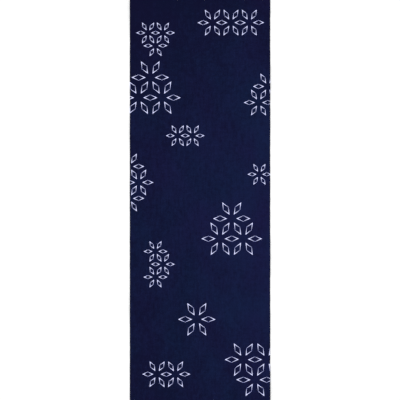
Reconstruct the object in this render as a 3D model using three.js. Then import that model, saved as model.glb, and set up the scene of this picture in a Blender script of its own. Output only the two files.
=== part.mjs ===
// A tenugui: one rectangle of thin plain-weave cotton, laid out flat and face up.
//
// Millimetres, +Z up. The origin is on the resting surface under the middle of the cloth.
// +Y runs along the warp, from the lower cut end to the upper one, and +X runs from
// selvedge to selvedge. The underside rests on z = 0, apart from soft rises at the edges
// and a few in the field, where the limp cloth stands up by one to four millimetres.
import * as THREE from "three";

// Cut size of the towel, and the thickness of the solid that stands for it.
const WIDTH = 350;
const LENGTH = 1000;
const THICKNESS = 1;

// The grid that carries the low relief: cells across the width and along the length.
const CELLS_ACROSS = 18;
const CELLS_ALONG = 50;

const SIDE = WIDTH / 2;
const END = LENGTH / 2;

// Where the cloth doesn't lie dead flat. Each row is one soft rise: its middle (x, y), the
// direction of its long axis in degrees from +X, its reach along and across that axis, and
// its height at the middle. It has died out completely at its reach.
const RISES = [
  { place: "upper left corner", x: -SIDE, y: END, turn: 45, along: 95, across: 120, height: 4.2 },
  { place: "lower right corner", x: SIDE, y: -END, turn: 45, along: 85, across: 110, height: 3.4 },
  { place: "upper end", x: 70, y: END, turn: 84, along: 110, across: 60, height: 1.8 },
  { place: "lower end", x: -75, y: -END, turn: 98, along: 120, across: 66, height: 2.0 },
  { place: "left selvedge, upper", x: -SIDE, y: 175, turn: -9, along: 130, across: 64, height: 2.2 },
  { place: "left selvedge, lower", x: -SIDE, y: -265, turn: 7, along: 100, across: 58, height: 2.4 },
  { place: "right selvedge, upper", x: SIDE, y: 285, turn: 5, along: 115, across: 62, height: 2.3 },
  { place: "right selvedge, lower", x: SIDE, y: -140, turn: -8, along: 130, across: 66, height: 1.9 },
  { place: "field, upper", x: -40, y: 330, turn: -28, along: 150, across: 62, height: 1.1 },
  { place: "field, middle", x: 20, y: 95, turn: 58, along: 190, across: 75, height: 1.3 },
  { place: "field, lower", x: -25, y: -300, turn: 17, along: 135, across: 60, height: 1.0 },
];

// How far one rise lifts the cloth at (x, y): its height times (1 - r^2)^2, where r is the
// distance from its middle as a share of its reach.
function liftOf(rise, x, y) {
  const turn = THREE.MathUtils.degToRad(rise.turn);
  const dx = x - rise.x;
  const dy = y - rise.y;
  const along = (dx * Math.cos(turn) + dy * Math.sin(turn)) / rise.along;
  const across = (dy * Math.cos(turn) - dx * Math.sin(turn)) / rise.across;
  const left = Math.max(0, 1 - along * along - across * across);
  return rise.height * left * left;
}

// The height of the cloth's underside over the surface at (x, y).
function lift(x, y) {
  return RISES.reduce((sum, rise) => sum + liftOf(rise, x, y), 0);
}

// A flat sheet whose two faces are gridded, then raised by the lift at each vertex, so
// that it keeps its thickness over every rise.
function sheetGeometry() {
  const sheet = new THREE.BoxGeometry(WIDTH, LENGTH, THICKNESS, CELLS_ACROSS, CELLS_ALONG, 1);
  sheet.translate(0, 0, THICKNESS / 2);
  const position = sheet.getAttribute("position");
  for (let i = 0; i < position.count; i++) {
    const raised = position.getZ(i) + lift(position.getX(i), position.getY(i));
    position.setZ(i, raised);
  }
  sheet.computeVertexNormals();
  return sheet;
}

// Indigo-dyed cotton with a dry, matt surface.
const indigoCotton = new THREE.MeshStandardMaterial({
  color: 0x14193a,
  roughness: 0.95,
  metalness: 0,
});

const cloth = new THREE.Mesh(sheetGeometry(), indigoCotton);
cloth.name = "cloth";

const towel = new THREE.Group();
towel.name = "tenugui_towel";
towel.add(cloth);

export default towel;
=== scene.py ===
"""A tenugui: a narrow towel of thin plain-weave cotton, dyed indigo with white hemp-leaf stars.

The towel lies face up on a pale floor and is seen from straight above. It is one woven
sheet with low rises, the yarn ends of its two raw cuts, and the weft's turns along its two
selvedges. Lengths are in metres, +Y runs along the warp and +X from selvedge to selvedge.
"""

from collections import namedtuple
from functools import reduce
from math import cos, floor, hypot, pi, radians, sin, sqrt

import bpy
import numpy as np
from bpy.props import FloatProperty, FloatVectorProperty, IntProperty, PointerProperty
from bpy.types import Operator, Panel, PropertyGroup
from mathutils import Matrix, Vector


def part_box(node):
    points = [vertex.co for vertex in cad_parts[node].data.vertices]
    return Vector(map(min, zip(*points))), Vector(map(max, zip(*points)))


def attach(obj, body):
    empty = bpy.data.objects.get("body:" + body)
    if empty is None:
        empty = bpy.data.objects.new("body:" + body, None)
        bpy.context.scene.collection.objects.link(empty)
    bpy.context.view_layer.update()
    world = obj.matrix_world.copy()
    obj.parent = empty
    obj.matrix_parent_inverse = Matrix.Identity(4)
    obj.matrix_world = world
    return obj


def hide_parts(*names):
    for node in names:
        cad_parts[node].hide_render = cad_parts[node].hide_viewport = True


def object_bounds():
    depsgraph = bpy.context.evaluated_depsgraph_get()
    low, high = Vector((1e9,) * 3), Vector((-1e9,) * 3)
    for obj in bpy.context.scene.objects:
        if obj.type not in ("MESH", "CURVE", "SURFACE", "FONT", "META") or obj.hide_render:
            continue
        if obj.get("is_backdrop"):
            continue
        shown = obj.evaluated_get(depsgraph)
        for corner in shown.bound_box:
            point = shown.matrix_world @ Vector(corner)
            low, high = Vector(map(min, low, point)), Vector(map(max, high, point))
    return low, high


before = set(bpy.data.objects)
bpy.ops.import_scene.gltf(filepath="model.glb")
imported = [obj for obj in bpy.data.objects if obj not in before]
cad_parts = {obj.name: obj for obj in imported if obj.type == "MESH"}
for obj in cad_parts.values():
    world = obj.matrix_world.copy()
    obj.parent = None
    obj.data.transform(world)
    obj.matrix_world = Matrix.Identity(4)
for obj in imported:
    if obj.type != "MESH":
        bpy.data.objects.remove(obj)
CAD_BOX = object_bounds()

bl_info = {
    "name": "Tenugui Towel",
    "version": (1, 0, 0),
    "blender": (4, 5, 0),
    "location": "3D View > Sidebar > Tenugui",
    "description": "Weaves, dyes and lays out a plain-weave cotton towel",
    "category": "Add Mesh",
}

# The cloth's extents at rest, from the frame.
CLOTH_LOW, CLOTH_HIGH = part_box("cloth")
WIDTH = CLOTH_HIGH.x - CLOTH_LOW.x
LENGTH = CLOTH_HIGH.y - CLOTH_LOW.y
SIDE = WIDTH / 2
END = LENGTH / 2

# The photograph's frame, and the width of the cloth in it, in pixels.
PHOTO_PIXELS = 400
CLOTH_PIXELS = 140.4

# The frame's body, and the name of the bake map.
BODY = "root"
BAKE_MAP = "OFBake"

# Names of the pieces. Each piece at an edge has the side of the cloth that it is on.
CLOTH_PIECE = "towel_cloth"
CUT_PIECES = {"upper_cut_ends": 1, "lower_cut_ends": -1}
SELVEDGE_PIECES = {"right_selvedge_turns": 1, "left_selvedge_turns": -1}

# Where the cloth doesn't lie dead flat: soft rises at two corners, both cuts, both selvedges
# and in the field. Each has its middle, the direction of its long axis in degrees from +X,
# its reach along and across that axis, and its height.
Rise = namedtuple("Rise", "x y turn along across height")
CORNER_RISES = (
    Rise(-SIDE, END, 45, 0.095, 0.120, 0.0042),
    Rise(SIDE, -END, 45, 0.085, 0.110, 0.0034),
)
CUT_RISES = (
    Rise(0.070, END, 84, 0.110, 0.060, 0.0018),
    Rise(-0.075, -END, 98, 0.120, 0.066, 0.0020),
)
SELVEDGE_RISES = (
    Rise(-SIDE, 0.175, -9, 0.130, 0.064, 0.0022),
    Rise(-SIDE, -0.265, 7, 0.100, 0.058, 0.0024),
    Rise(SIDE, 0.285, 5, 0.115, 0.062, 0.0023),
    Rise(SIDE, -0.140, -8, 0.130, 0.066, 0.0019),
)
FIELD_RISES = (
    Rise(-0.040, 0.330, -28, 0.150, 0.062, 0.0011),
    Rise(0.020, 0.095, 58, 0.190, 0.075, 0.0013),
    Rise(-0.025, -0.300, 17, 0.135, 0.060, 0.0010),
)
RISES = CORNER_RISES + CUT_RISES + SELVEDGE_RISES + FIELD_RISES

# The slack of the field: long, low swells, and the height over which they ease into the
# stretches that lie on the floor. turn is the direction across a swell, in degrees from +X,
# and phase is where it starts, in radians.
Swell = namedtuple("Swell", "length turn phase height")
SWELLS = (
    Swell(0.210, 20, 0.4, 0.00060),
    Swell(0.130, 75, 2.2, 0.00050),
    Swell(0.085, -35, 4.1, 0.00030),
    Swell(0.052, 10, 1.3, 0.00015),
)
SWELL_EASE = 0.0003

# Ripples where an edge is tighter or looser than the field. They die away over their reach,
# and their phase strays by so many radians.
Ripple = namedtuple("Ripple", "length reach height stray")
SELVEDGE_RIPPLE = Ripple(0.036, 0.017, 0.00100, 1.7)
CUT_RIPPLE = Ripple(0.050, 0.024, 0.00150, 2.0)

# The irregular line that edges, ripples, swells and loose yarns share, as a sum of waves.
Wave = namedtuple("Wave", "length phase share")
WAVES = (
    Wave(0.153, 0.7, 0.50),
    Wave(0.065, 2.1, 0.30),
    Wave(0.028, 4.0, 0.20),
)

# How far apart two opposite edges are on the irregular line, in metres along it, and how
# fast their wander dies away inwards, as a power of the share of the way out.
SELVEDGE_APART = 0.3
CUT_APART = 0.4
WANDER_POWER = 9

# Distances from a selvedge, and from a cut, at which the mesh has its closest columns and rows.
SELVEDGE_STEPS = (0.0, 0.00012, 0.0004, 0.0011, 0.0024)
CUT_STEPS = (0.0, 0.0002, 0.0010, 0.0024)

# Selvedges are woven closer than the field: how much thicker, how far in, how far in they
# are rounded off, and what share of the thickness the edge's own narrow face has. The
# sheet's edge and the root of the weft's turns lie inside it by shares of the thickness.
SELVEDGE_SWELL = 0.22
SELVEDGE_REACH = 0.0028
SELVEDGE_ROUND = 0.0004
EDGE_FACE = 0.35
SHEET_INSET = 0.125
TURN_INSET = 0.5

# Loose yarns: the sides of their section, the stations along a warp end and round a turn of
# the weft, and how much of a yarn's radius a yarn goes over and under another.
YARN_SIDES = 4
WARP_END_STATIONS = 5
TURN_STATIONS = 5
CRIMP = 0.6

# The warp ends: how many stay in the cloth at each selvedge, how deep they are rooted, how
# thin they end, the shape of the gamma distribution of their lengths, the least and the most
# length in frays, how widely their lean and curl are spread as shares of the length, and
# their level in yarn radii.
WARPS_HELD = 1
ROOT_LENGTH = 0.0009
TIP_SHARE = 0.55
FRAY_SHAPE = 2.0
FRAY_LEAST = 0.15
FRAY_MOST = 4.0
LEAN_SPREAD = 0.30
CURL_SPREAD = 0.16
LEVEL_SPREAD = 0.2

# The last wefts: how far each has slipped past the cut, the share by which that varies, and
# how far apart two of them are on the irregular line.
WEFT_SLIPS = (0.00012, 0.00042)
SLIP_VARIES = 0.6
WEFTS_APART = 0.13

# The white pattern. Stars stand on a lattice of equal triangles, and a slim diamond lies
# along each side of the lattice that has a star at one of its ends. A star is drawn where
# its middle is inside one of the clusters' ellipses.
Cluster = namedtuple("Cluster", "x y reach_x reach_y")
Stars = namedtuple("Stars", "pitch x y clusters")
SMALL_STARS = Stars(
    pitch=0.037,
    x=0.0,
    y=0.0,
    clusters=(
        Cluster(-0.105, 0.405, 0.030, 0.040),
        Cluster(-0.030, 0.160, 0.042, 0.024),
        Cluster(-0.095, -0.160, 0.034, 0.040),
        Cluster(0.140, 0.075, 0.022, 0.020),
    ),
)
MIDDLING_STARS = Stars(
    pitch=0.046,
    x=0.008,
    y=0.004,
    clusters=(
        Cluster(0.085, 0.432, 0.060, 0.030),
        Cluster(0.150, 0.245, 0.040, 0.046),
        Cluster(-0.165, 0.030, 0.030, 0.062),
        Cluster(-0.085, -0.440, 0.044, 0.028),
    ),
)
LARGE_STARS = Stars(
    pitch=0.058,
    x=-0.008,
    y=0.004,
    clusters=(
        Cluster(-0.135, 0.272, 0.060, 0.034),
        Cluster(0.080, -0.065, 0.060, 0.056),
        Cluster(0.130, -0.420, 0.055, 0.044),
        Cluster(0.010, -0.305, 0.030, 0.026),
    ),
)
ALL_STARS = (SMALL_STARS, MIDDLING_STARS, LARGE_STARS)
ROOT_3 = sqrt(3)
SIXTH_TURN = pi / 3

# A diamond's length and width as shares of the pitch, and the weight of its line at its
# waist and at its two tips as shares of the line's width.
DIAMOND_LENGTH = 0.61
DIAMOND_WIDTH = 0.255
WAIST_WEIGHT = 0.50
TIP_WEIGHT = 2.55

# Layers of noise: a layer's name, which labels its node, the width and length of its lumps,
# its detail, and its amount. In the dye the amount is a share of the way from deep to light
# indigo, at the dye's edge it is how far the line is out of true, and in the relief it is a
# height.
Layer = namedtuple("Layer", "name across along detail amount")
DYE_LAYERS = (
    Layer("vat mottle", 0.070, 0.110, 3.0, 0.95),
    Layer("warp streaks", 0.0050, 0.034, 2.0, 0.80),
    Layer("weft streaks", 0.050, 0.0040, 2.0, 0.40),
    Layer("blotches", 0.0100, 0.0110, 2.0, 1.00),
)
YARN_BY_YARN = Layer("yarn by yarn", 0.0018, 0.0030, 2.0, 1.40)
DYE_EDGE = Layer("dye edge", 0.0005, 0.0005, 1.0, 0.00045)
COTTON_RELIEF = (
    Layer("thick warps", 0.0009, 0.030, 1.0, 0.00005),
    Layer("thick wefts", 0.030, 0.0009, 1.0, 0.00005),
    Layer("crinkle", 0.010, 0.016, 3.0, 0.00050),
)

# How the ground drifts over the cloth, as shares of the way from deep to light indigo: its
# middle, what it gains to the right selvedge and the upper cut, what both ends lose, and
# what the closer weave along the selvedges loses.
GROUND_MIDDLE = 0.34
GROUND_RIGHT = 0.24
GROUND_UP = -0.13
GROUND_ENDS = 0.46
GROUND_SELVEDGE = 0.50

# How the ground's hue wanders: a layer, and what it adds to red, green and blue as shares
# of them where it is at its highest.
DYE_CAST = Layer("cast", 0.110, 0.160, 4.0, 2.0)
CAST_GAIN = (0.55, -0.42, 0.0)

# The weave: its height, how far and over what size it is pulled out of true, how much
# lighter the crowns of its yarns are than the gaps between them, which is partly deeper dye
# and partly painted shade in the gaps, how clear the resist has kept the white lines, and
# how much lighter the crowns are on those lines, which is painted shade in the gaps alone.
WEAVE_HEIGHT = 0.00009
PULL = 0.0006
PULL_SIZE = 0.0030
CROWN_DYE_AND_PAINTED_SHADE = 0.45
LINE_CLEAR = 0.88
LINE_PAINTED_WEAVE_SHADE = 0.16
LINE_GRAIN = 0.25

# A line's soft edge, from 0 on the ground to 1 on the line. By the first of these levels the
# ground has turned into the mid-blue of thin dye, and from the second on that clears.
THIN_DYE_BY = 0.5
CLEARS_FROM = 0.4

# The size of the waver in the drawn lines, the detail of what pulls them and the weave out
# of true, and the relief of a loose yarn's twist and fuzz.
HAND_SIZE = 0.022
STRAY_DETAIL = 1.0
TWIST_HEIGHT = 0.00003
FUZZ = Layer("fuzz", 0.0004, 0.0004, 2.0, 0.00003)

# The Mix node's sockets for its two colours, and the output for the colour that they make.
MIX_FIRST = 6
MIX_SECOND = 7
MIX_RESULT = 2

# The cotton's dry gloss. Its roughness falls from the first number to the second on the
# crowns, and its sheen is the light that the fibres' ends catch at a low angle.
Gloss = namedtuple("Gloss", "rough crown_rough specular sheen sheen_rough sheen_tint")
CLOTH_GLOSS = Gloss(0.97, 0.90, 0.04, 0.30, 0.40, (0.25, 0.32, 0.70, 1.0))
YARN_GLOSS = Gloss(0.97, 0.88, 0.06, 0.10, 0.50, (0.35, 0.42, 0.75, 1.0))

# The margin of the bake map, as a share of its side.
MAP_MARGIN = 0.006

# The floor: half its side, its cells along a side, how far it is below the towel, and the
# size and height of its tooth.
FLOOR_REACH = 30.0
FLOOR_CELLS = 24
FLOOR_GAP = 0.0001
FLOOR_TOOTH = Layer("tooth", 0.004, 0.004, 2.0, 0.00002)
FLOOR_ROUGH = 0.95
FLOOR_SPECULAR = 0.1

# The wide sun's height and its bearing from +Y towards +X, in degrees, and the width of the
# camera's sensor in millimetres.
SUN_HEIGHT = 38
SUN_BEARING = -14
SENSOR = 36.0


def linear(red, green, blue):
    """A colour for the shaders, by the sRGB curve, from 8-bit values as a screen shows them."""
    shares = (channel / 255 for channel in (red, green, blue))
    return tuple(s / 12.92 if s <= 0.04045 else ((s + 0.055) / 1.055) ** 2.4 for s in shares)


class TowelCloth(PropertyGroup):
    """Sizes of the woven sheet. Its width and length are the frame's."""

    thickness: FloatProperty(
        name="Thickness",
        description="Thickness of the cloth in its field",
        default=0.00042,
        min=0.0001,
        precision=5,
        unit="LENGTH",
    )
    cell: FloatProperty(
        name="Cell",
        description="Size of the mesh's cells in the field",
        default=0.004,
        min=0.002,
        unit="LENGTH",
    )
    wander: FloatProperty(
        name="Edge wander",
        description="How far the selvedges and cuts stray from straight lines",
        default=0.0002,
        min=0.0,
        precision=5,
        unit="LENGTH",
    )


class TowelYarn(PropertyGroup):
    """Sizes of the yarns, and of the ends that stand out of the cuts."""

    warp_pitch: FloatProperty(
        name="Warp pitch",
        description="Distance from one warp yarn to the next, across the cloth",
        default=0.0005,
        min=0.0002,
        precision=5,
        unit="LENGTH",
    )
    weft_pitch: FloatProperty(
        name="Weft pitch",
        description="Distance from one weft yarn to the next, along the cloth",
        default=0.0004,
        min=0.0002,
        precision=5,
        unit="LENGTH",
    )
    radius: FloatProperty(
        name="Yarn radius",
        description="Radius of one yarn",
        default=0.00013,
        min=0.00005,
        precision=5,
        unit="LENGTH",
    )
    fray: FloatProperty(
        name="Fray",
        description="How far most warp ends stand out of a cut",
        default=0.0010,
        min=0.0,
        precision=5,
        unit="LENGTH",
    )
    seed: IntProperty(
        name="Seed",
        description="Picks the lengths and the lean of the loose yarn ends",
        default=7,
        min=0,
    )


class TowelDye(PropertyGroup):
    """Colours of the dyed and the undyed cotton, and how its lines are drawn."""

    deep: FloatVectorProperty(
        name="Deep indigo",
        description="The dyed ground where it has taken the most dye",
        default=linear(10, 12, 40),
        subtype="COLOR",
        size=3,
        min=0.0,
        max=1.0,
    )
    light: FloatVectorProperty(
        name="Light indigo",
        description="The dyed ground where it has taken the least dye",
        default=linear(17, 24, 58),
        subtype="COLOR",
        size=3,
        min=0.0,
        max=1.0,
    )
    undyed: FloatVectorProperty(
        name="Undyed cotton",
        description="The lines that the resist paste kept clear",
        default=linear(224, 227, 255),
        subtype="COLOR",
        size=3,
        min=0.0,
        max=1.0,
    )
    thin: FloatVectorProperty(
        name="Thin dye",
        description="The fringe of a line, where a little dye has crept under the paste",
        default=linear(71, 83, 164),
        subtype="COLOR",
        size=3,
        min=0.0,
        max=1.0,
    )
    line: FloatProperty(
        name="Line",
        description="Width of the undyed lines",
        default=0.00086,
        min=0.0001,
        precision=5,
        unit="LENGTH",
    )
    creep: FloatProperty(
        name="Dye creep",
        description="Half the width over which a line fades into the ground",
        default=0.0004,
        min=0.00001,
        precision=5,
        unit="LENGTH",
    )
    hand: FloatProperty(
        name="Hand",
        description="How far the hand-cut stencil strays from true lines",
        default=0.0007,
        min=0.0,
        precision=5,
        unit="LENGTH",
    )


class TowelStage(PropertyGroup):
    """The floor, the lights and the camera."""

    frame_width: FloatProperty(
        name="Frame width",
        description="Width of the camera's frame at the cloth",
        default=WIDTH * PHOTO_PIXELS / CLOTH_PIXELS,
        min=0.1,
        unit="LENGTH",
    )
    lens: FloatProperty(
        name="Lens",
        description="Focal length in millimetres",
        default=160.0,
        min=20.0,
    )
    floor: FloatVectorProperty(
        name="Floor",
        description="Colour of the floor",
        default=(0.83, 0.83, 0.83),
        subtype="COLOR",
        size=3,
        min=0.0,
        max=1.0,
    )
    dome: FloatProperty(
        name="Dome",
        description="Strength of the even light from all round",
        default=0.69,
        min=0.0,
    )
    sun: FloatProperty(
        name="Sun",
        description="Strength of the wide sun",
        default=2.9,
        min=0.0,
    )
    spread: FloatProperty(
        name="Sun spread",
        description="How wide the sun looks, which softens its shadows",
        default=radians(16),
        min=0.0,
        unit="ROTATION",
    )


class Value:
    """One output of a node. Arithmetic and comparisons on it add Math nodes."""

    def __init__(self, finish, socket):
        self.finish = finish
        self.socket = socket

    def math(self, operation, *inputs):
        """Adds a Math node that works on these values and numbers."""
        return self.finish.node("ShaderNodeMath", {"operation": operation}, dict(enumerate(inputs)))

    def __add__(self, other):
        return self.math("ADD", self, other)

    def __sub__(self, other):
        return self.math("SUBTRACT", self, other)

    def __rsub__(self, other):
        return self.math("SUBTRACT", other, self)

    def __mul__(self, other):
        return self.math("MULTIPLY", self, other)

    def __truediv__(self, other):
        return self.math("DIVIDE", self, other)

    def __rtruediv__(self, other):
        return self.math("DIVIDE", other, self)

    def __lt__(self, other):
        return self.math("LESS_THAN", self, other)

    def __abs__(self):
        return self.math("ABSOLUTE", self)

    def __round__(self):
        return self.math("ROUND", self)

    def __floor__(self):
        return self.math("FLOOR", self)

    __radd__ = __add__
    __rmul__ = __mul__

    def sine(self):
        return self.math("SINE", self)

    def cosine(self):
        return self.math("COSINE", self)

    def root(self):
        return self.math("SQRT", self)

    def angle_over(self, across):
        """The angle from +X of the place (across, self)."""
        return self.math("ARCTAN2", self, across)

    def or_more(self, other):
        """The greater of the two."""
        return self.math("MAXIMUM", self, other)

    def fade(self, start, stop):
        """1 up to start, 0 from stop on, and a soft step between them."""
        settings = {"interpolation_type": "SMOOTHSTEP"}
        limits = {"From Min": start, "From Max": stop, "To Min": 1.0, "To Max": 0.0}
        return self.finish.node("ShaderNodeMapRange", settings, {"Value": self, **limits})


class Finish:
    """A material in the making. Its node method adds every node."""

    def __init__(self, name):
        self.material = bpy.data.materials.new(name)
        self.material.use_nodes = True
        self.tree = self.material.node_tree
        self.tree.nodes.clear()

    def node(self, kind, settings, sockets, output=0):
        """Adds a node of this type. Its settings are set first, then its sockets' values or links."""
        made = self.tree.nodes.new(kind)
        for name, setting in settings.items():
            setattr(made, name, setting)
        for key, value in sockets.items():
            if isinstance(value, Value):
                self.tree.links.new(value.socket, made.inputs[key])
            else:
                made.inputs[key].default_value = value
        return None if output is None else Value(self, made.outputs[output])

    def place(self):
        """The place on the piece, in its own coordinates."""
        return self.node("ShaderNodeTexCoord", {}, {}, "Object")

    def vector(self, operation, *inputs):
        """Adds a Vector Math node. A length is a number, and any other result a vector."""
        output = "Value" if operation == "LENGTH" else "Vector"
        sockets = dict(enumerate(inputs))
        return self.node("ShaderNodeVectorMath", {"operation": operation}, sockets, output)

    def part(self, vector, axis):
        """One component of a vector, as a number."""
        return self.node("ShaderNodeSeparateXYZ", {}, {0: vector}, axis)

    def noise(self, place, size_x, size_y, detail, output="Fac"):
        """Smooth noise from 0 to 1 whose lumps are about size_x by size_y."""
        scaled = self.vector("MULTIPLY", place, (1 / size_x, 1 / size_y, 1 / size_x))
        sockets = {"Vector": scaled, "Scale": 1.0, "Detail": detail}
        return self.node("ShaderNodeTexNoise", {"noise_dimensions": "3D"}, sockets, output)

    def layer(self, place, layer):
        """One layer of noise, from minus half its amount to plus half."""
        noise = self.noise(place, layer.across, layer.along, layer.detail)
        noise.socket.node.label = layer.name
        return (noise - 0.5) * layer.amount

    def stray(self, place, size, reach):
        """The place moved by noise, by up to half the reach along each of X and Y."""
        pull = self.noise(place, size, size, STRAY_DETAIL, "Color")
        shift = self.vector("MULTIPLY_ADD", pull, (reach, reach, 0), (-reach / 2, -reach / 2, 0))
        return self.vector("ADD", place, shift)

    def mix(self, share, first, second):
        """A colour that goes from first to second as share goes from 0 to 1."""
        settings = {"data_type": "RGBA", "clamp_factor": True}
        colours = [c if isinstance(c, Value) else (*c, 1.0) for c in (first, second)]
        sockets = {0: share, MIX_FIRST: colours[0], MIX_SECOND: colours[1]}
        return self.node("ShaderNodeMix", settings, sockets, MIX_RESULT)

    def surface(self, height, sockets):
        """Ends the material in a Principled BSDF with this relief and these sockets."""
        bump = {"Strength": 1.0, "Distance": 1.0, "Height": height}
        normal = self.node("ShaderNodeBump", {}, bump)
        shader = self.node("ShaderNodeBsdfPrincipled", {}, {"Normal": normal, **sockets})
        self.node("ShaderNodeOutputMaterial", {}, {"Surface": shader}, None)
        return self.material


def in_clusters(finish, star_x, star_y, clusters):
    """1 where the star at (star_x, star_y) is inside the ellipse of any cluster, and 0 elsewhere."""
    star = finish.node("ShaderNodeCombineXYZ", {}, {0: star_x, 1: star_y})

    def inside(cluster):
        scale = (1 / cluster.reach_x, 1 / cluster.reach_y, 0)
        shift = (-cluster.x / cluster.reach_x, -cluster.y / cluster.reach_y, 0)
        return finish.vector("LENGTH", finish.vector("MULTIPLY_ADD", star, scale, shift)) < 1

    return reduce(Value.or_more, map(inside, clusters))


def star_lines(finish, place, stars, dye, bleed):
    """The undyed lines of the stars of one size, as 1 on a line and 0 off it.

    The lattice of equal triangles is two lattices of rectangles, 1 by root 3 pitches, so the
    nearest star is the nearer of the two that rounding gives. The angle from it, rounded to
    a sixth of a turn, points to the neighbour that it shares a diamond with. In the frame
    (out, aside) of that side the diamond's edge is where |out - 1/2| / a + aside / b = 1,
    and the line lies along the inside of it, heavier towards the tips. bleed is how far the
    line is pushed inwards or outwards there, as the dye ran unevenly along the yarns.
    """
    across = (finish.part(place, "X") - stars.x) / stars.pitch
    along = (finish.part(place, "Y") - stars.y) / stars.pitch
    row = along / ROOT_3
    even_x = round(across)
    even_y = round(row) * ROOT_3
    odd_x = floor(across) + 0.5
    odd_y = (floor(row) + 0.5) * ROOT_3
    even_off_x = across - even_x
    even_off_y = along - even_y
    odd_off_x = across - odd_x
    odd_off_y = along - odd_y
    even_far = even_off_x * even_off_x + even_off_y * even_off_y
    odd_far = odd_off_x * odd_off_x + odd_off_y * odd_off_y
    odd = odd_far < even_far
    star_x = even_x + odd * (odd_x - even_x)
    star_y = even_y + odd * (odd_y - even_y)
    off_x = across - star_x
    off_y = along - star_y

    turn = round(off_y.angle_over(off_x) / SIXTH_TURN) * SIXTH_TURN
    way_x = turn.cosine()
    way_y = turn.sine()
    from_middle = abs(off_x * way_x + off_y * way_y - 0.5)
    aside = abs(off_y * way_x - off_x * way_y)

    a = DIAMOND_LENGTH / 2
    b = DIAMOND_WIDTH / 2
    past_edge = (from_middle * b + aside * a - a * b) * (stars.pitch / hypot(a, b)) + bleed
    weight = from_middle * ((TIP_WEIGHT - WAIST_WEIGHT) / a) + WAIST_WEIGHT
    half_line = weight * (dye.line / 2)
    lines = (abs(past_edge + half_line) - half_line).fade(-dye.creep, dye.creep)

    here = in_clusters(
        finish,
        star_x * stars.pitch + stars.x,
        star_y * stars.pitch + stars.y,
        stars.clusters,
    )
    there = in_clusters(
        finish,
        (star_x + way_x) * stars.pitch + stars.x,
        (star_y + way_y) * stars.pitch + stars.y,
        stars.clusters,
    )
    return lines * here.or_more(there)


def dyed_colour(finish, place, dye, crowns):
    """The colour of the cotton: an uneven indigo ground with the undyed pattern left in it.

    crowns is 1 on the crown of a yarn and 0 between yarns, where the colour is darker: on the
    ground partly by deeper dye and partly by painted shade in the gaps, and on the white
    lines by painted shade alone. A line's soft edge goes from the ground through the
    mid-blue of thin dye to bare cotton.
    """
    across = finish.part(place, "X") / SIDE
    along = finish.part(place, "Y") / END
    drift = across * GROUND_RIGHT + along * GROUND_UP - along * along * GROUND_ENDS
    dense = (1 - abs(across)).fade(0, SELVEDGE_REACH / SIDE) * GROUND_SELVEDGE
    uneven = reduce(Value.__add__, (finish.layer(place, layer) for layer in DYE_LAYERS))
    grain = finish.layer(place, YARN_BY_YARN)
    # The crowns' share is partly deeper dye between the yarns and partly painted shade in their gaps.
    light = drift - dense + uneven + grain + crowns * CROWN_DYE_AND_PAINTED_SHADE + GROUND_MIDDLE
    even = finish.mix(light, tuple(dye.deep), tuple(dye.light))
    cast = finish.vector("MULTIPLY_ADD", finish.layer(place, DYE_CAST), CAST_GAIN, (1, 1, 1))
    ground = finish.vector("MULTIPLY", even, cast)

    drawn = finish.stray(place, HAND_SIZE, 2 * dye.hand)
    bleed = finish.layer(place, DYE_EDGE)
    families = (star_lines(finish, drawn, stars, dye, bleed) for stars in ALL_STARS)
    lines = reduce(Value.or_more, families)
    thin = 1 - lines.fade(0, THIN_DYE_BY)
    fringed = finish.mix(thin, ground, tuple(dye.thin))
    kept = 1 - lines.fade(CLEARS_FROM, 1)
    # On the white lines the crowns' share is painted shade in the gaps between the yarns.
    clear = kept * (grain * LINE_GRAIN + crowns * LINE_PAINTED_WEAVE_SHADE + LINE_CLEAR)
    return finish.mix(clear, fringed, tuple(dye.undyed))


def woven_crowns(finish, place, yarn):
    """The plain weave, from 0 between the yarns to 1 on their crowns.

    Where warp and weft cross, one of the two makes a low dome, so the value is the root of
    |sin(pi x / warp pitch) sin(pi y / weft pitch)|, on a grid that noise pulls out of true.
    """
    moved = finish.stray(place, PULL_SIZE, PULL)
    columns = abs((finish.part(moved, "X") * (pi / yarn.warp_pitch)).sine())
    rows = abs((finish.part(moved, "Y") * (pi / yarn.weft_pitch)).sine())
    return (columns * rows).root()


def cotton_surface(finish, place, dye, crowns, height, gloss):
    """Ends a finish as dyed cotton with these crowns, this relief and this gloss."""
    return finish.surface(
        height,
        {
            "Base Color": dyed_colour(finish, place, dye, crowns),
            "Roughness": crowns * (gloss.crown_rough - gloss.rough) + gloss.rough,
            "Specular IOR Level": gloss.specular,
            "Sheen Weight": gloss.sheen,
            "Sheen Roughness": gloss.sheen_rough,
            "Sheen Tint": gloss.sheen_tint,
        },
    )


def dyed_weave(dye, yarn):
    """The cloth's finish: dyed plain weave with thick and thin yarns and a dry, matt face."""
    finish = Finish("dyed_weave")
    place = finish.place()
    crowns = woven_crowns(finish, place, yarn)
    uneven = reduce(Value.__add__, (finish.layer(place, layer) for layer in COTTON_RELIEF))
    return cotton_surface(finish, place, dye, crowns, crowns * WEAVE_HEIGHT + uneven, CLOTH_GLOSS)


def dyed_yarn(dye, yarn):
    """The loose yarns' finish: the same dye on spun cotton, whose twist rises across the yarn."""
    finish = Finish("dyed_yarn")
    place = finish.place()
    slant = (finish.part(place, "X") + finish.part(place, "Y")) * (pi / yarn.warp_pitch)
    twist = slant.sine() * 0.5 + 0.5
    height = twist * TWIST_HEIGHT + finish.layer(place, FUZZ)
    # The twist stands in for the crowns, so its grooves get the same painted shade in the colour.
    return cotton_surface(finish, place, dye, twist, height, YARN_GLOSS)


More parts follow.
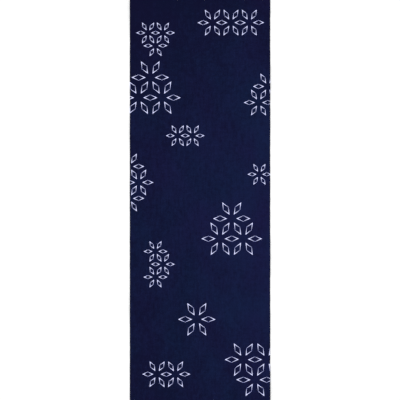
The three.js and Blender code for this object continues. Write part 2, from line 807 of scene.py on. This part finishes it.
def pale_paper(colour):
    """The floor's finish: a pale paper sweep with the faintest tooth."""
    finish = Finish("pale_paper")
    height = finish.layer(finish.place(), FLOOR_TOOTH)
    return finish.surface(
        height,
        {
            "Base Color": (*colour, 1.0),
            "Roughness": FLOOR_ROUGH,
            "Specular IOR Level": FLOOR_SPECULAR,
        },
    )


def waves(place):
    """An irregular line between -1 and 1: the sum of the WAVES' sines, each times its share."""
    return sum(w.share * np.sin(2 * pi * place / w.length + w.phase) for w in WAVES)


def rises(x, y):
    """The soft rises' height at the places (x, y).

    It is the sum, over the rises, of height times (1 - r^2)^2 within its reach, where r is
    the distance from its middle as a share of the reach, in the rise's turned axes.
    """
    total = np.zeros(np.shape(x))
    for rise in RISES:
        turn = radians(rise.turn)
        off_x = x - rise.x
        off_y = y - rise.y
        along = (off_x * cos(turn) + off_y * sin(turn)) / rise.along
        across = (off_y * cos(turn) - off_x * sin(turn)) / rise.across
        total += rise.height * np.clip(1 - along**2 - across**2, 0, None) ** 2
    return total


def swells(x, y):
    """The slack's height at the places (x, y).

    Each swell is a sine wave along its own direction, whose phase strays with the waves
    beside it, so that no crest is straight. Where their sum s is below the floor the cloth
    lies on it: the height is (s + root of (s^2 + ease^2)) / 2.
    """
    total = np.zeros(np.shape(x))
    for swell in SWELLS:
        turn = radians(swell.turn)
        run = x * cos(turn) + y * sin(turn)
        beside = y * cos(turn) - x * sin(turn)
        phase = 2 * pi * run / swell.length + swell.phase + waves(beside)
        total += swell.height * np.sin(phase)
    return (total + np.hypot(total, SWELL_EASE)) / 2


def ripples(kind, from_edge, run, side):
    """The height of the ripples along an edge: half a sine wave up, dying away from the edge.

    They die away exponentially with the distance from the edge. Their phase strays with the
    waves, and the side, 1 or -1, sets the two opposite edges apart.
    """
    phase = 2 * pi * run / kind.length + kind.stray * waves(run + kind.length * side) + side
    return kind.height * np.exp(-from_edge / kind.reach) * (0.5 + 0.5 * np.sin(phase))


def underside(x, y):
    """Height of the cloth's underside over the floor at the places (x, y)."""
    at_selvedge = ripples(SELVEDGE_RIPPLE, SIDE - np.abs(x), y, np.sign(x))
    at_cut = ripples(CUT_RIPPLE, END - np.abs(y), x, np.sign(y))
    return rises(x, y) + swells(x, y) + at_selvedge + at_cut


def stations(reach, cell, edge_steps):
    """Places from -reach to reach, a cell apart in the field, and edge_steps from both ends."""
    near = reach - np.array(edge_steps)
    cells = 2 * round(near[-1] / cell)
    field = np.linspace(-near[-1], near[-1], cells + 1)
    return np.concatenate([-near[:-1], field, near[:-1][::-1]])


def sheet_arrays(cloth):
    """The woven sheet's vertices, its quads and each vertex's share of the width and length.

    The profile runs over the top from the left selvedge to the right one and back beneath,
    and is carried along the warp. Half its thickness, at a distance d from the selvedge, is
    t/2 (1 + swell exp(-(d / reach)^2)), rounded off to a narrow face at the edge.
    """
    across = stations(SIDE - SHEET_INSET * cloth.thickness, cloth.cell, SELVEDGE_STEPS)
    along = stations(END, cloth.cell, CUT_STEPS)
    x, y = np.meshgrid(across, along)
    from_edge = across.max() - np.abs(x)
    swell = 1 + SELVEDGE_SWELL * np.exp(-((from_edge / SELVEDGE_REACH) ** 2))
    inwards = np.clip(1 - from_edge / SELVEDGE_ROUND, 0, 1)
    rounding = EDGE_FACE + (1 - EDGE_FACE) * np.sqrt(1 - inwards**2)
    half = cloth.thickness / 2 * swell * rounding
    middle = underside(x, y) + cloth.thickness / 2 * swell

    out_x = x / across.max()
    out_y = y / along.max()
    wander_x = out_x**WANDER_POWER * waves(y + SELVEDGE_APART * np.sign(x))
    wander_y = out_y**WANDER_POWER * waves(x + CUT_APART * np.sign(y))
    strayed_x = x + cloth.wander * wander_x
    strayed_y = y + cloth.wander * wander_y
    top = np.stack([strayed_x, strayed_y, middle + half], axis=-1)
    bottom = np.stack([strayed_x, strayed_y, middle - half], axis=-1)
    ring = np.concatenate([top, bottom[:, ::-1]], axis=1)
    shares = np.stack([out_x, out_y], axis=-1) / 2 + 0.5
    ring_shares = np.concatenate([shares, shares[:, ::-1]], axis=1)

    rows, round_count = ring.shape[:2]
    columns = round_count // 2
    index = np.arange(rows * round_count).reshape(rows, round_count)
    after = np.roll(index, -1, axis=1)
    walls = np.stack([index[:-1], after[:-1], after[1:], index[1:]], axis=-1).reshape(-1, 4)
    upper = index[:, :columns]
    lower = index[:, columns:][:, ::-1]
    near_cut = [upper[0, :-1], lower[0, :-1], lower[0, 1:], upper[0, 1:]]
    far_cut = [upper[-1, :-1], upper[-1, 1:], lower[-1, 1:], lower[-1, :-1]]
    cuts = [np.stack(cut, axis=-1) for cut in (near_cut, far_cut)]
    quads = np.concatenate([walls, *cuts])
    return ring.reshape(-1, 3), quads, ring_shares.reshape(-1, 2)


def yarn_arrays(paths, radii):
    """Vertices and quads of round yarns along paths.

    paths holds a row of places for each yarn, and radii their radii. The profile is a ring
    in the plane of the path's level normal and its raised normal, and both ends are closed.
    """
    ahead = np.gradient(paths, axis=1)
    ahead /= np.linalg.norm(ahead, axis=-1, keepdims=True)
    level = np.cross(ahead, (0, 0, 1))
    level /= np.linalg.norm(level, axis=-1, keepdims=True)
    raised = np.cross(level, ahead)
    turn = np.arange(YARN_SIDES) * (2 * pi / YARN_SIDES)
    ring = level[:, :, None] * np.cos(turn)[:, None] + raised[:, :, None] * np.sin(turn)[:, None]
    points = paths[:, :, None] + radii[:, :, None, None] * ring

    index = np.arange(points.size // 3).reshape(points.shape[:3])
    after = np.roll(index, -1, axis=2)
    walls = [index[:, :-1], index[:, 1:], after[:, 1:], after[:, :-1]]
    quads = np.stack(walls, axis=-1).reshape(-1, 4)
    return points.reshape(-1, 3), np.concatenate([quads, index[:, 0], index[:, -1, ::-1]])


def join_arrays(*parts):
    """Joins several (vertices, quads) pairs into one."""
    starts = np.cumsum([0] + [len(vertices) for vertices, _ in parts])
    vertices = np.concatenate([vertices for vertices, _ in parts])
    quads = np.concatenate([quads + start for (_, quads), start in zip(parts, starts)])
    return vertices, quads


def warp_end_arrays(cloth, yarn, end):
    """The ends of the warp at one cut.

    Each is a parabola: it leaves the cut straight, and leans, curls and droops with the
    square of the share of its length, as far as the floor lets it.
    """
    rng = np.random.default_rng([yarn.seed, end + 1])
    count = round(WIDTH / yarn.warp_pitch) - 2 * WARPS_HELD
    x = (np.arange(count) - (count - 1) / 2) * yarn.warp_pitch
    frays = rng.gamma(FRAY_SHAPE, 1 / FRAY_SHAPE, count)
    out = yarn.fray * np.clip(frays, FRAY_LEAST, FRAY_MOST)
    lean = out * rng.normal(0.0, LEAN_SPREAD, count)
    curl = out * rng.normal(0.0, CURL_SPREAD, count)
    level = yarn.radius * rng.normal(0.0, LEVEL_SPREAD, count)

    share = np.linspace(0, 1, WARP_END_STATIONS)[None, :]
    cut = END + cloth.wander * waves(x + CUT_APART * end)
    path_x = x[:, None] + lean[:, None] * share**2
    path_y = end * (cut[:, None] - ROOT_LENGTH + (ROOT_LENGTH + out[:, None]) * share)
    middle = underside(x, np.full(count, end * END)) + cloth.thickness / 2
    path_z = (middle + level)[:, None] + curl[:, None] * share**2
    radii = yarn.radius * (1 + (TIP_SHARE - 1) * share) * np.ones((count, 1))
    path_z = np.maximum(path_z, radii)
    return yarn_arrays(np.stack([path_x, path_y, path_z], axis=-1), radii)


def loose_weft_arrays(cloth, yarn, end):
    """The last wefts at one cut, slipped outwards.

    Each follows the cut at a distance that varies with the waves. It goes over one warp end
    and under the next as the sine of pi x / warp pitch, and the next weft the other way.
    """
    run = np.linspace(-SIDE, SIDE, 2 * round(WIDTH / yarn.warp_pitch) + 1)
    number = np.arange(len(WEFT_SLIPS))[:, None]
    slip = np.array(WEFT_SLIPS)[:, None]
    out = END + slip * (1 + SLIP_VARIES * waves(run + WEFTS_APART * number))
    over = CRIMP * yarn.radius * np.sin(pi * run / yarn.warp_pitch + pi * number)
    middle = underside(run, np.full(run.shape, end * END)) + cloth.thickness / 2
    paths = np.stack([np.broadcast_to(run, out.shape), end * out, middle + over], axis=-1)
    return yarn_arrays(paths, np.full(out.shape, yarn.radius))


def selvedge_arrays(cloth, yarn, side):
    """The weft's turns along one selvedge: a half circle from each row of weft into the next.

    They are two pitches apart, and one fewer than the cloth's length has room for, so that
    they end inside both cuts.
    """
    apart = 2 * yarn.weft_pitch
    count = round(LENGTH / apart) - 1
    y = (np.arange(count) - (count - 1) / 2) * apart
    angle = np.linspace(-pi / 2, pi / 2, TURN_STATIONS)[None, :]
    root = SIDE - TURN_INSET * cloth.thickness
    edge = root + cloth.wander * waves(y + SELVEDGE_APART * side)
    path_x = side * (edge[:, None] + yarn.weft_pitch / 2 * np.cos(angle))
    path_y = y[:, None] + side * yarn.weft_pitch / 2 * np.sin(angle)
    middle = underside(path_x, path_y) + cloth.thickness / 2 * (1 + SELVEDGE_SWELL)
    path_z = middle + CRIMP * yarn.radius * np.sin(angle)
    radii = np.full(path_x.shape, yarn.radius)
    return yarn_arrays(np.stack([path_x, path_y, path_z], axis=-1), radii)


def floor_arrays():
    """A level square of floor just under the towel, as a grid of quads."""
    run = np.linspace(-FLOOR_REACH, FLOOR_REACH, FLOOR_CELLS + 1)
    x, y = np.meshgrid(run, run)
    vertices = np.stack([x, y, np.full(x.shape, -FLOOR_GAP)], axis=-1)
    index = np.arange(x.size).reshape(x.shape)
    corners = [index[:-1, :-1], index[:-1, 1:], index[1:, 1:], index[1:, :-1]]
    return vertices.reshape(-1, 3), np.stack(corners, axis=-1).reshape(-1, 4)


def new_mesh(name, vertices, quads):
    """A smooth mesh object of these vertices and quads, in the scene."""
    mesh = bpy.data.meshes.new(name)
    mesh.from_pydata(vertices.tolist(), [], quads.tolist())
    mesh.polygons.foreach_set("use_smooth", np.ones(len(quads), bool))
    mesh.update()
    piece = bpy.data.objects.new(name, mesh)
    bpy.context.scene.collection.objects.link(piece)
    return piece


def lay_map(mesh, quads, shares):
    """Lays the sheet's bake map out as its lower and its upper half, side by side.

    The underside has its face's places, because the dye goes right through the cloth.
    """
    corners = shares[quads]
    upper = (corners[..., 1].mean(axis=1) > 0.5)[:, None]
    inner = 1 - 2 * MAP_MARGIN
    map_x = (MAP_MARGIN + corners[..., 0] * inner + upper) / 2
    map_y = MAP_MARGIN + (2 * corners[..., 1] - upper) * inner
    layer = mesh.uv_layers.new(name=BAKE_MAP)
    layer.data.foreach_set("uv", np.stack([map_x, map_y], axis=-1).ravel())


def wear(piece, make_finish, scene):
    """Gives a piece its cotton finish, which is made once, and lets it ride with the towel."""
    material = bpy.data.materials.get(make_finish.__name__)
    if material is None:
        material = make_finish(scene.towel_dye, scene.towel_yarn)
    piece.data.materials.append(material)
    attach(piece, BODY)


class TENUGUI_OT_cut_ends(Operator):
    """Frays the yarn ends of the two raw cuts"""

    bl_idname = "tenugui.cut_ends"
    bl_label = "Fray Cut Ends"

    def execute(self, context):
        scene = context.scene
        for name, end in CUT_PIECES.items():
            warp = warp_end_arrays(scene.towel_cloth, scene.towel_yarn, end)
            weft = loose_weft_arrays(scene.towel_cloth, scene.towel_yarn, end)
            wear(new_mesh(name, *join_arrays(warp, weft)), dyed_yarn, scene)
        return {"FINISHED"}


class TENUGUI_OT_selvedges(Operator):
    """Turns the weft back along the two selvedges"""

    bl_idname = "tenugui.selvedges"
    bl_label = "Turn Selvedges"

    def execute(self, context):
        scene = context.scene
        for name, side in SELVEDGE_PIECES.items():
            turns = selvedge_arrays(scene.towel_cloth, scene.towel_yarn, side)
            wear(new_mesh(name, *turns), dyed_yarn, scene)
        return {"FINISHED"}


class TENUGUI_OT_cloth(Operator):
    """Weaves and dyes the sheet, and lays it where the plain solid was"""

    bl_idname = "tenugui.cloth"
    bl_label = "Weave Cloth"

    def execute(self, context):
        scene = context.scene
        cloth = scene.towel_cloth
        vertices, quads, shares = sheet_arrays(cloth)
        piece = new_mesh(CLOTH_PIECE, vertices, quads)
        lay_map(piece.data, quads, shares)
        wear(piece, dyed_weave, scene)
        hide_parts("cloth")
        loose = [bpy.data.objects[name] for name in (*CUT_PIECES, *SELVEDGE_PIECES)]
        return {"FINISHED"}


class TENUGUI_OT_stage(Operator):
    """Lays the pale floor, and sets the soft lights and the camera straight above the towel"""

    bl_idname = "tenugui.stage"
    bl_label = "Set Stage"

    def execute(self, context):
        scene = context.scene
        stage = scene.towel_stage
        floor_piece = new_mesh("studio_floor", *floor_arrays())
        floor_piece.data.materials.append(pale_paper(tuple(stage.floor)))
        floor_piece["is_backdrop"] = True

        world = bpy.data.worlds.new("studio_dome")
        world.use_nodes = True
        background = world.node_tree.nodes["Background"]
        background.inputs["Color"].default_value = (1, 1, 1, 1)
        background.inputs["Strength"].default_value = stage.dome
        scene.world = world
        scene.view_settings.view_transform = "Standard"

        light = bpy.data.lights.new("wide_sun", "SUN")
        light.energy = stage.sun
        light.angle = stage.spread
        sun = bpy.data.objects.new("wide_sun", light)
        height = radians(SUN_HEIGHT)
        bearing = radians(SUN_BEARING)
        towards = Vector((sin(bearing) * cos(height), cos(bearing) * cos(height), sin(height)))
        sun.rotation_euler = towards.to_track_quat("Z", "Y").to_euler()
        scene.collection.objects.link(sun)

        lens = bpy.data.cameras.new("overhead")
        lens.lens = stage.lens
        lens.sensor_width = SENSOR
        camera = bpy.data.objects.new("overhead", lens)
        distance = stage.frame_width * stage.lens / SENSOR
        camera.location = (0, 0, distance + scene.towel_cloth.thickness)
        scene.collection.objects.link(camera)
        scene.camera = camera
        return {"FINISHED"}


class TENUGUI_PT_panel(Panel):
    """The towel's sizes, colours and steps"""

    bl_label = "Tenugui"
    bl_space_type = "VIEW_3D"
    bl_region_type = "UI"
    bl_category = "Tenugui"

    def draw(self, context):
        for name, group in GROUPS.items():
            box = self.layout.box()
            for key in group.__annotations__:
                box.prop(getattr(context.scene, name), key)
        for step in STEPS:
            self.layout.operator(step.bl_idname)


GROUPS = {
    "towel_cloth": TowelCloth,
    "towel_yarn": TowelYarn,
    "towel_dye": TowelDye,
    "towel_stage": TowelStage,
}
STEPS = (TENUGUI_OT_cut_ends, TENUGUI_OT_selvedges, TENUGUI_OT_cloth, TENUGUI_OT_stage)


def register():
    """Registers the property groups, the operators and the panel."""
    for cls in (*GROUPS.values(), *STEPS, TENUGUI_PT_panel):
        bpy.utils.register_class(cls)
    for name, group in GROUPS.items():
        setattr(bpy.types.Scene, name, PointerProperty(type=group))


def unregister():
    """Takes back all that register did."""
    for name in GROUPS:
        delattr(bpy.types.Scene, name)
    for cls in (TENUGUI_PT_panel, *reversed(STEPS), *reversed(GROUPS.values())):
        bpy.utils.unregister_class(cls)


def main():
    """Makes the towel and its stage."""
    register()
    bpy.ops.tenugui.cut_ends()
    bpy.ops.tenugui.selvedges()
    bpy.ops.tenugui.cloth()
    bpy.ops.tenugui.stage()
    boxes = {"cad": CAD_BOX, "visual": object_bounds()}
    {name: [list(corner) for corner in box] for name, box in boxes.items()}


if __name__ == "__main__":
    main()
